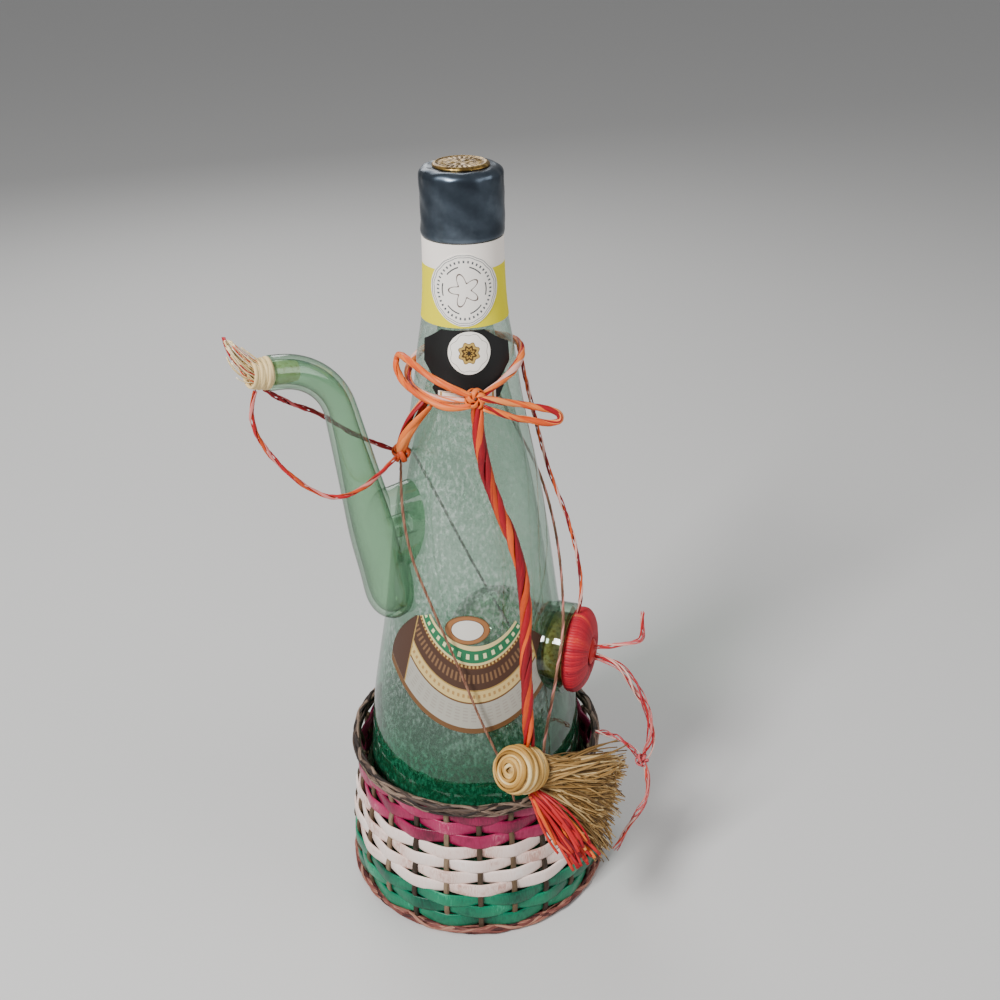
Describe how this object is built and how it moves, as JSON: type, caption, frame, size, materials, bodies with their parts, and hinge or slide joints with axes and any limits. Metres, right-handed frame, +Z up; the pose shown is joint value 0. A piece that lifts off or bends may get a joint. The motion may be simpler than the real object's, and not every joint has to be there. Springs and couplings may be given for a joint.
{
  "type": "straw-cradled wine carafe",
  "caption": "Glass fiasco-style wine carafe with a side pouring spout, a plugged ice pocket, a woven cane cradle and raffia cords with a straw tassel.",
  "frame": {"origin": "on the bottle's axis, in the plane that the basket stands on", "axes": "+Z up along the bottle; the labels face -Y; the spout leans out at -X and the ice pocket opens at +X"},
  "size_m": [0.167, 0.1401, 0.3299],
  "materials": {
    "bottle_glass": "clear, faintly green",
    "spout_glass": "clear green",
    "cork": "matte",
    "capsule_foil": "satin",
    "gold_foil": "satin",
    "cream_paper": "matte",
    "yellow_paper": "matte",
    "black_paper": "matte",
    "brown_paper": "matte",
    "stake_cane": "matte",
    "dark_cane": "matte",
    "green_cane": "satin",
    "white_cane": "satin",
    "red_cane": "satin",
    "orange_raffia": "matte",
    "red_raffia": "matte",
    "brown_cord": "matte",
    "straw": "matte"
  },
  "bodies": {
    "bottle": {"glass_bottle": "bottle_glass", "pouring_spout": "spout_glass", "ice_pocket": "spout_glass", "neck_label": "yellow_paper", "neck_seal": "cream_paper", "collar_label": "black_paper", "collar_seal": "cream_paper", "body_label": "brown_paper", "vintage_label": "brown_paper", "basket_base": "dark_cane", "basket_foot_border": "dark_cane", "basket_stakes": "stake_cane", "basket_weave_green": "green_cane", "basket_weave_white": "white_cane", "basket_weave_red": "red_cane", "basket_rim": "dark_cane", "neck_tie_wrap": "orange_raffia", "tie_left_loop": "orange_raffia", "tie_right_loop": "orange_raffia", "tie_knot": "orange_raffia", "knot_bundle": "orange_raffia", "side_knot": "orange_raffia", "front_stay": "brown_cord", "back_stay": "brown_cord", "right_stay": "brown_cord", "cap_cord": "red_raffia", "spout_tether_front": "red_raffia", "spout_tether_rear": "red_raffia", "tassel_rope": "red_raffia", "tassel_core": "straw", "tassel_winding": "straw", "tassel_skirt": "straw", "tassel_tuft": "red_raffia"},
    "neck_closure": {"neck_cork": "cork", "capsule": "capsule_foil", "capsule_disc": "gold_foil"},
    "pocket_cap": {"pocket_plug": "cork", "cap_core": "straw", "cap_winding": "red_raffia", "cap_button": "red_raffia", "cap_bunch": "red_raffia", "cap_bunch_rim_branch": "red_raffia", "cap_bunch_low_branch": "red_raffia", "bunch_knot": "red_raffia", "cap_cut_end": "red_raffia"},
    "spout_stopper": {"spout_cork": "cork", "stopper_binding": "straw", "stopper_tuft": "straw"}
  },
  "joints": [
    {"name": "neck_closure_lift", "type": "slide", "parent": "bottle", "child": "neck_closure", "axis": [0, 0, 1], "range_m": [0, 0.06]},
    {"name": "pocket_cap_pull", "type": "slide", "parent": "bottle", "child": "pocket_cap", "axis": [0.9397, -0.342, 0], "range_m": [0, 0.03]},
    {"name": "spout_stopper_pull", "type": "slide", "parent": "bottle", "child": "spout_stopper", "axis": [-0.8286, -0.5381, 0.1546], "range_m": [0, 0.025]}
  ]
}
